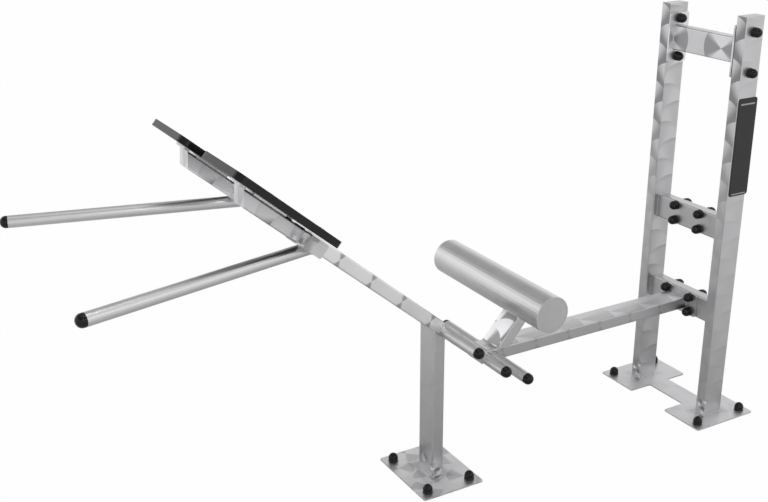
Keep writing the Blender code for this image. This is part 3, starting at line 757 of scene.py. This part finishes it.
def weld_loops():
    """Closed lines of every weld."""
    tube = rounded(TUBE_DEPTH, TUBE_WIDTH, TUBE_CORNER)
    upright = rounded(TUBE_WIDTH, TUBE_DEPTH, TUBE_CORNER)
    rail = rounded(TUBE_DEPTH, FORK_TUBE_WIDTH, TUBE_CORNER)
    pipe = ring(ROUND_TUBE_RADIUS)
    plumb = (AXIS_X, AXIS_Y, AXIS_Z)
    level = (AXIS_Z, AXIS_Y, AXIS_X)
    up_slope = (OFF_SLOPE, AXIS_Y, UP_SLOPE)
    off_slope = (UP_SLOPE, AXIS_Y, OFF_SLOPE)
    foot = AXIS_Z * PLATE_TOP
    corner = Vector((MITRE_X, 0, BEAM_Z))
    mitre = Vector((math.cos(SLOPE / 2), 0, -math.sin(SLOPE / 2)))
    boom_end = on_slope(CROSS_TUBE_UP, 0, BOOM_MIDDLE)
    head = on_slope(ARM_UP, 0, ROLLER_ABOVE)
    cuts = [
        (tube, (0, 0, 0), plumb, foot, AXIS_Z),
        (tube, (0, 0, 0), plumb, AXIS_Z * POST_HEIGHT, OFF_SLOPE),
        (tube, corner, level, corner, mitre),
        (tube, on_slope(0, 0, BOOM_MIDDLE), up_slope, boom_end, UP_SLOPE),
        (tube, corner, level, AXIS_X * BEAM_END_X, AXIS_X),
        (tube, head, off_slope, AXIS_Z * BEAM_TOP_Z, AXIS_Z),
        (tube, head, off_slope, head, (UP_SLOPE + OFF_SLOPE).normalized()),
    ]
    bars = ((LOWER_BAR_Z, BAR_END_Y), (MIDDLE_BAR_Z, BAR_END_Y), (TOP_BAR_Z, TOP_BAR_END_Y))
    feet = [(LOWER_FOOT_X, 0, BEAM_Z)] + [on_slope(up, 0, BOOM_MIDDLE) for up in FOOT_UPS]
    rail_foot = on_slope(CROSS_TUBE_UP + FORK_TUBE_WIDTH, 0, 0)
    for sign in SIGNS:
        side = AXIS_Y * sign
        across = (AXIS_X, AXIS_Z, side)
        cuts.append((upright, (LADDER_X, sign * UPRIGHT_Y, 0), plumb, foot, AXIS_Z))
        cuts += [(tube, (LADDER_X, 0, height), across, side * end, side) for height, end in bars]
        cuts += [(pipe, centre, across, side * (TUBE_WIDTH / 2), side) for centre in feet]
        root, direction = handle_line(sign)
        cuts.append((pipe, root, (direction.cross(AXIS_Z), AXIS_Z, direction), root, OFF_SLOPE))
        centre = on_slope(0, sign * RAIL_SIDE, FORK_MIDDLE)
        cuts.append((rail, centre, up_slope, rail_foot, UP_SLOPE))
    roller = on_slope(ROLLER_UP, 0, ROLLER_ABOVE)
    return [cut_loop(*cut) for cut in cuts] + [saddle_loop(tube, head, up_slope, roller)]


def weld_group():
    """Geometry tree that lays a rippled bead along each line."""
    group, tree, start = new_group("weld_beads", ("Bead", "Ripple"))
    lines = tree.node("GeometryNodeMeshToCurve", None, {"Mesh": start})
    fine = tree.node("GeometryNodeResampleCurve", {"mode": "LENGTH"},
                     {"Curve": lines, "Length": start.of("Ripple") / 3})
    length = tree.node("GeometryNodeSplineParameter", None, None, "Length")
    wave = (length / start.of("Ripple") * math.tau).one("SINE")
    uneven = tree.noise(tree.node("GeometryNodeInputPosition"), 90.0)
    thick = start.of("Bead") * (0.85 + wave * 0.16 + uneven * 0.40)
    section = tree.node("GeometryNodeCurvePrimitiveCircle", None, {"Resolution": 8, "Radius": 1.0})
    bead = tree.node("GeometryNodeCurveToMesh", None,
                     {"Curve": fine, "Profile Curve": section, "Scale": thick})
    smooth = tree.node("GeometryNodeSetShadeSmooth", None, {"Geometry": bead})
    return close_group(group, tree, start, smooth)


class BENCH_OT_ground_steel(bpy.types.Operator):
    """Put ground steel on the rectangular tubes and plates."""

    bl_idname = "bench.ground_steel"
    bl_label = "Ground steel"

    def execute(self, context):
        self.dress_bench()
        self.dress_fork()
        self.dress_ladder()
        self.dress_plates()
        return {"FINISHED"}

    def dress_bench(self):
        """Post, boom, beam and the roller's arm."""
        dents = [((-0.020, 0.004, 0.052), 0.020), ((-0.020, -0.040, 0.040), 0.016),
                 ((0.0, -0.040, 0.018), 0.018)]
        # Gains paint each tube's faces lighter or darker, and strengths set how strong its painted
        # highlights show, for how each face catches the light.
        dress_tube(
            "post", (0, 0, 0), AXIS_Z, AXIS_Y, AXIS_X,
            MarksAndSheen(phase=0.0, strength=0.12, turn=0.1, share=0.1, gain=0.93, rim=0.3, side=0.03,
                  pitch=0.5),
            MarksAndSheen(strength=0.05, gain=0.88), dents)
        dress_tube(
            "boom", on_slope(0, 0, BOOM_MIDDLE), UP_SLOPE, AXIS_Y, OFF_SLOPE,
            MarksAndSheen(phase=0.02, strength=0.3, turn=1.4),
            MarksAndSheen(phase=0.1126, strength=0.78, turn=0.0, share=0.50, gain=1.10))
        dress_tube(
            "link_beam", (0, 0, BEAM_Z), AXIS_X, AXIS_Y, AXIS_Z,
            MarksAndSheen(strength=0.32, turn=1.2, share=0.65, gain=1.10),
            MarksAndSheen(phase=0.103, strength=0.25, turn=0.2, share=0.4, gain=0.76))
        dress_tube(
            "roller_arm", (0, 0, 0), OFF_SLOPE, AXIS_Y, UP_SLOPE,
            MarksAndSheen(phase=0.04, strength=0.95, turn=0.6, share=0.1, gain=1.2, side=0.025, pitch=0.36,
                  size=0.6),
            MarksAndSheen(gain=0.92))
        dress_tube("roller_stub", (0, 0, 0), UP_SLOPE, AXIS_Y, OFF_SLOPE, MarksAndSheen())

    def dress_fork(self):
        """Rails, and cross tube with a wide dent at each end, which dims its bright face there."""
        dents = [(on_slope(CROSS_TUBE_UP + FORK_TUBE_WIDTH, sign * 0.238, FORK_MIDDLE), 0.027)
                 for sign in SIGNS]
        # The cross tube's narrow faces are painted lighter, a painted highlight.
        dress_tube(
            "cross_tube", on_slope(0, 0, BOOM_MIDDLE), AXIS_Y, UP_SLOPE, OFF_SLOPE,
            MarksAndSheen(phase=0.02, strength=0.3, turn=1.2), MarksAndSheen(strength=0.3, turn=0.6, gain=1.25), dents)
        # The left rail is painted darker and the right one lighter, as painted shade and painted
        # highlight.
        for (side, sign), gain in zip(SIDES, (0.84, 1.15)):
            dress_tube(
                f"rail_{side}", on_slope(0, sign * RAIL_SIDE, FORK_MIDDLE), UP_SLOPE, AXIS_Y, OFF_SLOPE,
                MarksAndSheen(phase=0.02, strength=0.3, turn=1.3, gain=1.1),
                MarksAndSheen(phase=0.02, strength=1.0, turn=0.3, share=0.15, gain=gain, rim=0.1, side=0.02,
                      pitch=0.45, size=0.8))

    def dress_ladder(self):
        """Bars and uprights, with ground dents at the uprights' feet."""
        # The bars are painted darker, as painted shade.
        for name, z, gain in (("lower_bar", LOWER_BAR_Z, 0.84), ("middle_bar", MIDDLE_BAR_Z, 0.76)):
            dress_tube(
                name, (0, 0, z), AXIS_Y, AXIS_Z, AXIS_X,
                MarksAndSheen(phase=0.03, strength=0.12, turn=0.1, gain=gain, rim=0.4), MarksAndSheen(gain=0.98))
        # Bow-shaped light and dark wedges on the top bar are painted highlight and painted shade.
        bows = [(y, -0.003, 0.073, math.pi / 2) for y in (-0.0731, 0.1437)]
        dress_plate("top_bar", (0, 0, TOP_BAR_Z), AXIS_Y, AXIS_Z, bows, 0.85, 0.93, rougher=0.0,
                    wedges=0.35)
        # The uprights' X faces get strong painted highlights that fade towards the floor, and their
        # gains are painted shade; the right upright's broad faces show the painted highlights more than
        # the left's.
        for (side, sign), strength in zip(SIDES, (0.10, 0.30)):
            dents = [((LADDER_X - TUBE_WIDTH / 2, sign * UPRIGHT_Y + y, z), size)
                     for y, z, size in ((0.004, 0.046, 0.018), (-0.012, 0.022, 0.016),
                                        (-0.020, 0.060, 0.014))]
            dress_tube(
                f"upright_{side}", (LADDER_X, sign * UPRIGHT_Y, 0), AXIS_Z, AXIS_X, AXIS_Y,
                MarksAndSheen(phase=0.004, strength=strength, share=0.9, gain=0.88, rim=0.6, side=0.03,
                      pitch=0.5),
                MarksAndSheen(phase=0.080, strength=1.0, turn=0.0, share=-0.36, gain=0.87, side=0.058,
                      pitch=0.5, fade=0.86), dents)

    def dress_plates(self):
        """Base plates, flanges, lids and the boards' packing."""
        # Each plate's gain paints it lighter or darker for how it catches the light, and its disc
        # wedges are painted highlight.
        discs = [(-0.07, -0.09, 0.050, 0.4), (0.07, -0.085, 0.055, 0.9), (0.08, 0.05, 0.055, 2.4),
                 (-0.02, 0.12, 0.050, 0.2), (-0.085, 0.055, 0.050, 1.2), (-0.03, -0.03, 0.045, 0.7)]
        dress_plate("post_base_plate", (0, 0, 0), AXIS_X, AXIS_Y, discs, 0.40, 1.24,
                    foot=(TUBE_DEPTH / 2, TUBE_WIDTH / 2, 0.0))
        discs = [(x, sign * y, 0.062, turn) for sign in SIGNS
                 for x, y, turn in ((-0.07, 0.12, 0.5), (0.06, 0.20, 1.7), (0.02, 0.03, 0.9))]
        dress_plate("ladder_base_plate", (LADDER_X, 0, 0), AXIS_X, AXIS_Y, discs, 0.08, 1.26,
                    rougher=0.08, foot=(TUBE_WIDTH / 2, TUBE_DEPTH / 2, UPRIGHT_Y))
        discs = [(0.0, 0.03, 0.06, 0.8), (0.0, -0.05, 0.06, 2.2)]
        dress_plate("beam_flange", (0, 0, BEAM_Z), AXIS_Z, AXIS_Y, discs, 0.2, 0.9)
        top = (LADDER_X, 0, TOP_BAR_Z)
        fork = on_slope(CROSS_TUBE_UP + FORK_TUBE_WIDTH / 2, 0, FORK_MIDDLE)
        for side, _ in SIDES:
            dress_plate(f"top_flange_{side}", top, AXIS_X, AXIS_Z, discs, 0.35, 1.1)
            dress_plate(f"cross_tube_lid_{side}", fork, UP_SLOPE, OFF_SLOPE, discs, 0.6, 0.86)
            dress_plate(f"board_spacer_{side}", fork, UP_SLOPE, AXIS_Y, discs, 0.3, 1.3)


class BENCH_OT_satin_steel(bpy.types.Operator):
    """Put brushed steel on the round tubes and the roller."""

    bl_idname = "bench.satin_steel"
    bl_label = "Satin steel"

    def execute(self, context):
        rough = context.scene.bench_satin_steel.roughness
        scratch = 700
        for name in ("foot_tube_lower", "foot_tube_middle", "foot_tube_upper"):
            low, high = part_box(name)
            give(name, satin_steel(name, (low + high) / 2, AXIS_Y, AXIS_X, AXIS_Z, rough, scratch))
        for side, sign in SIDES:
            root, direction = handle_line(sign)
            give(f"handle_{side}", satin_steel(f"handle_{side}", root, direction,
                                               direction.cross(AXIS_Z), AXIS_Z, rough, scratch))
        centre = on_slope(ROLLER_UP, 0, ROLLER_ABOVE)
        roller = satin_steel("roller", centre, AXIS_Y, AXIS_X, AXIS_Z, rough - 0.02, 420)
        # The roller's ends are painted darker, as painted shade.
        ends = satin_steel("roller_ends", centre, AXIS_X, AXIS_Y, AXIS_Z, rough + 0.08, 300, 0.84)
        give("roller_tube", roller)
        give("roller_disc_left", ends)
        give("roller_disc_right", ends)
        return {"FINISHED"}


class BENCH_OT_caps(bpy.types.Operator):
    """Make the dome caps over the bolts and anchors."""

    bl_idname = "bench.caps"
    bl_label = "Bolt caps"

    def execute(self, context):
        settings = context.scene.bench_caps
        material = black_plastic("cap_plastic", settings.colour, roughness=0.15, shine=0.3)
        values = {"Radius": settings.cap_radius, "Skirt": settings.cap_skirt, "Dome": settings.cap_dome,
                  "Flare": 0.0008, "Ring Depth": settings.ring_depth}
        bolts = sorted(name for name in NODES if "bolt" in name)
        anchors = sorted(name for name in NODES if "anchor" in name)
        ends = [end for name in bolts for end in bolt_ends(name)]
        seats = [anchor_seat(name) for name in anchors]
        for name, nodes, spots in (("bolt_caps", bolts, ends), ("anchor_caps", anchors, seats)):
            piece = domes(name, spots, values, material)
            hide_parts(*nodes)
            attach(piece, "root")
        return {"FINISHED"}


class BENCH_OT_plugs(bpy.types.Operator):
    """Make the dome plugs in the round tubes' ends."""

    bl_idname = "bench.plugs"
    bl_label = "Tube plugs"

    def execute(self, context):
        settings = context.scene.bench_caps
        material = black_plastic("plug_plastic", settings.colour, roughness=0.18, shine=0.28)
        values = {"Radius": ROUND_TUBE_RADIUS, "Skirt": settings.plug_rim, "Dome": settings.plug_dome,
                  "Flare": 0.0, "Ring Depth": settings.ring_depth * 0.6}
        piece = domes("tube_plugs", plug_seats(), values, material)
        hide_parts(*sorted(name for name in NODES if "plug" in name))
        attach(piece, "root")
        return {"FINISHED"}


class BENCH_OT_boards(bpy.types.Operator):
    """Finish the boards and set their screws."""

    bl_idname = "bench.boards"
    bl_label = "Boards"

    def execute(self, context):
        settings = context.scene.bench_boards
        board = black_plastic("board", settings.colour, settings.roughness, shine=0.32, grain=520.0,
                              depth=0.0001)
        give("board_left", board)
        give("board_right", board)
        seats = [(on_slope(up, sign * side, BOARD_TOP), OFF_SLOPE)
                 for sign in SIGNS for up, side in SCREWS]
        steel = satin_steel("screw", (0, 0, 0), AXIS_X, AXIS_Y, AXIS_Z, 0.25, 300)
        values = {"Radius": settings.screw_radius, "Skirt": settings.screw_height * 0.3,
                  "Dome": settings.screw_height * 0.7, "Flare": 0.0, "Ring Depth": 0.0}
        screws = domes("board_screws", seats, values, steel)
        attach(screws, "root")
        return {"FINISHED"}


class BENCH_OT_welds(bpy.types.Operator):
    """Lay the weld beads."""

    bl_idname = "bench.welds"
    bl_label = "Weld beads"

    def execute(self, context):
        settings = context.scene.bench_welds
        spots, edges = [], []
        for loop in weld_loops():
            first = len(spots)
            spots += loop
            edges += [(first + step, first + (step + 1) % len(loop)) for step in range(len(loop))]
        mesh = bpy.data.meshes.new("weld_lines")
        mesh.from_pydata(spots, edges, [])
        values = {"Bead": settings.bead, "Ripple": settings.ripple, "Material": bead_steel()}
        piece = plain_mesh(linked("weld_lines", mesh), weld_group(), values, "weld_beads")
        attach(piece, "root")
        return {"FINISHED"}


class BENCH_OT_sign(bpy.types.Operator):
    """Make the bare sign on the near upright."""

    bl_idname = "bench.sign"
    bl_label = "Bare sign"

    def execute(self, context):
        settings = context.scene.bench_sign
        outline = rounded(settings.width, settings.height, settings.corner, 8)
        face_y = -UPRIGHT_Y - TUBE_DEPTH / 2 - 0.0001
        centre_z = SIGN_BOTTOM_Z + settings.height / 2
        work = bmesh.new()
        corners = [work.verts.new((SIGN_X + x, face_y, centre_z + z)) for x, z in outline]
        face = work.faces.new(corners)
        moved = bmesh.ops.extrude_face_region(work, geom=[face])["geom"]
        for item in moved:
            if isinstance(item, bmesh.types.BMVert):
                item.co.y -= settings.thickness
        rim = [edge for edge in work.edges
               if all(vert.co.y < face_y - settings.thickness / 2 for vert in edge.verts)]
        bmesh.ops.bevel(work, geom=rim, offset=settings.thickness * 0.45, segments=2, affect="EDGES")
        mesh = bpy.data.meshes.new("sign")
        into_mesh(work, mesh)
        top = SIGN_BOTTOM_Z + settings.height
        bars = (((top - 0.019, 0.0022), (SIGN_BOTTOM_Z + 0.007, 0.0016)), 0.030, settings.bar)
        mesh.materials.append(black_plastic("sign_face", settings.colour, roughness=0.34, shine=0.3,
                                            grain=300.0, depth=0.0001, bars=bars))
        piece = linked("sign", mesh)
        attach(piece, "root")
        return {"FINISHED"}


class BENCH_OT_stage(bpy.types.Operator):
    """Set the floor, the light and the camera."""

    bl_idname = "bench.stage"
    bl_label = "Stage"

    def execute(self, context):
        self.lay_floor(context)
        self.light_world(context)
        self.hang_lamps(context)
        self.place_camera(context)
        context.scene.view_settings.view_transform = "Standard"
        return {"FINISHED"}

    def lay_floor(self, context):
        """Wide floor, white to the camera and white far from the bench in its reflections."""
        work = bmesh.new()
        bmesh.ops.create_circle(work, cap_ends=True, segments=96, radius=60)
        mesh = bpy.data.meshes.new("floor")
        work.to_mesh(mesh)
        work.free()
        floor = linked("floor", mesh)
        floor.location.z = -0.0005
        material = bpy.data.materials.new("floor")
        tree = new_tree(material)
        place = tree.node("ShaderNodeTexCoord", None, None, "Object")
        distance = place.scaled((0.75, 1, 1)).away((0.20, 0, 0))
        white_from, white_rate = 0.60, 0.55
        far = 1 - ((distance - white_from) * -white_rate).one("EXPONENT")
        ray = tree.node("ShaderNodeLightPath")
        mirrored = ray.of("Is Glossy Ray") + ray.of("Is Transmission Ray")
        seen = ray.of("Is Camera Ray") + mirrored * clamp(far)
        grain = tree.noise(place, 3.0, 3.0)
        paint = context.scene.bench_stage.floor
        colour = tree.blend_colour(grain, tinted(paint, 0.97), paint)
        lit = tree.node("ShaderNodeBsdfDiffuse", None, {"Color": colour})
        white = tree.node("ShaderNodeEmission", None, {"Color": (1, 1, 1), "Strength": 1.0})
        mixed = tree.node("ShaderNodeMixShader", None, {0: clamp(seen) * 0.98, 1: lit, 2: white})
        tree.end("ShaderNodeOutputMaterial", mixed)
        mesh.materials.append(material)

    def light_world(self, context):
        """White surroundings for the camera; in reflections a studio whose walls are darker high up,
        with a lighter ceiling and brighter parts at the front right and back left."""
        world = bpy.data.worlds.new("studio")
        context.scene.world = world
        tree = new_tree(world)
        direction = tree.node("ShaderNodeTexCoord", None, None, "Generated")
        height = direction.dot((0, 0, 1))
        front_right = direction.dot((0.82, -0.57, 0))
        wall = tree.smooth(height, 0.37, 0.49, 1.05, 0.46)
        ceiling = tree.smooth(height, 0.78, 0.97, 0.0, 0.40)
        side = tree.smooth(front_right, 0.10, 0.65) * tree.smooth(height, 0.70, 0.86, 1.0, 0.0)
        back_left = direction.dot((-0.87, 0.50, 0))
        left = tree.smooth(back_left, 0.50, 0.74) * tree.smooth(height, 0.50, 0.62, 1.0, 0.0)
        level = tree.blend(left, tree.blend(side, wall + ceiling, 1.0), 1.12)
        camera = tree.node("ShaderNodeLightPath", None, None, "Is Camera Ray")
        strength = tree.blend(camera, level, 1.0)
        light = tree.node("ShaderNodeBackground", None, {"Color": (1, 1, 1), "Strength": strength})
        tree.end("ShaderNodeOutputWorld", light)

    def hang_lamps(self, context):
        """A small lamp overhead, one beside the camera for glints on the caps, and large soft ones."""
        aim = Vector((0.1, 0, 0.6))
        lamps = (("top", (-0.3, -0.6, 3.4), 0.5, 0.5, 5),
                 ("back_left", (-2.4, 3.4, 1.9), 1.6, 1.5, 1.6),
                 ("front_right", (1.8, -3.2, 2.2), 2.0, 1.6, 3),
                 ("front", (-0.6, -3.3, 2.6), 0.6, 0.6, 11))
        for name, place, width, height, power in lamps:
            data = bpy.data.lights.new(name, "AREA")
            data.shape = "RECTANGLE"
            data.size = width
            data.size_y = height
            data.energy = power
            lamp = linked(name, data)
            lamp.location = place
            lamp.rotation_euler = (aim - Vector(place)).to_track_quat("-Z", "Y").to_euler()

    def place_camera(self, context):
        """Camera where the photograph was taken."""
        data = bpy.data.cameras.new("camera")
        data.lens = context.scene.bench_stage.lens
        data.sensor_width = 36
        data.shift_x = -0.0086
        data.shift_y = -0.0179
        data.clip_end = 200
        camera = linked("camera", data)
        camera.location = (-1.6329, -2.5551, 1.8984)
        camera.rotation_euler = (math.radians(90 - 20.237), 0, math.radians(-30.204))
        context.scene.camera = camera


STEPS = (BENCH_OT_ground_steel, BENCH_OT_satin_steel, BENCH_OT_caps, BENCH_OT_plugs, BENCH_OT_boards,
         BENCH_OT_welds, BENCH_OT_sign, BENCH_OT_stage)


class BENCH_PT_panel(bpy.types.Panel):
    """List of the bench's pieces and their settings."""

    bl_idname = "BENCH_PT_panel"
    bl_label = "Hyperextension bench"
    bl_space_type = "VIEW_3D"
    bl_region_type = "UI"
    bl_category = "Bench"

    def draw(self, context):
        for step in STEPS:
            self.layout.operator(step.bl_idname)
        for name, kind in SETTINGS.items():
            box = self.layout.box()
            box.label(text=kind.__doc__)
            for field in kind.__annotations__:
                box.prop(getattr(context.scene, name), field)


def register():
    """Add the settings, operators and panel to Blender."""
    for kind in (*SETTINGS.values(), *STEPS, BENCH_PT_panel):
        bpy.utils.register_class(kind)
    for name, kind in SETTINGS.items():
        setattr(bpy.types.Scene, name, bpy.props.PointerProperty(type=kind))


def unregister():
    """Take them out again."""
    for name in SETTINGS:
        delattr(bpy.types.Scene, name)
    for kind in reversed((*SETTINGS.values(), *STEPS, BENCH_PT_panel)):
        bpy.utils.unregister_class(kind)


def main():
    """Dress the bench step by step."""
    register()
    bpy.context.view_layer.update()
    for step in STEPS:
        area, name = step.bl_idname.split(".")
        getattr(getattr(bpy.ops, area), name)()


if __name__ == "__main__":
    main()
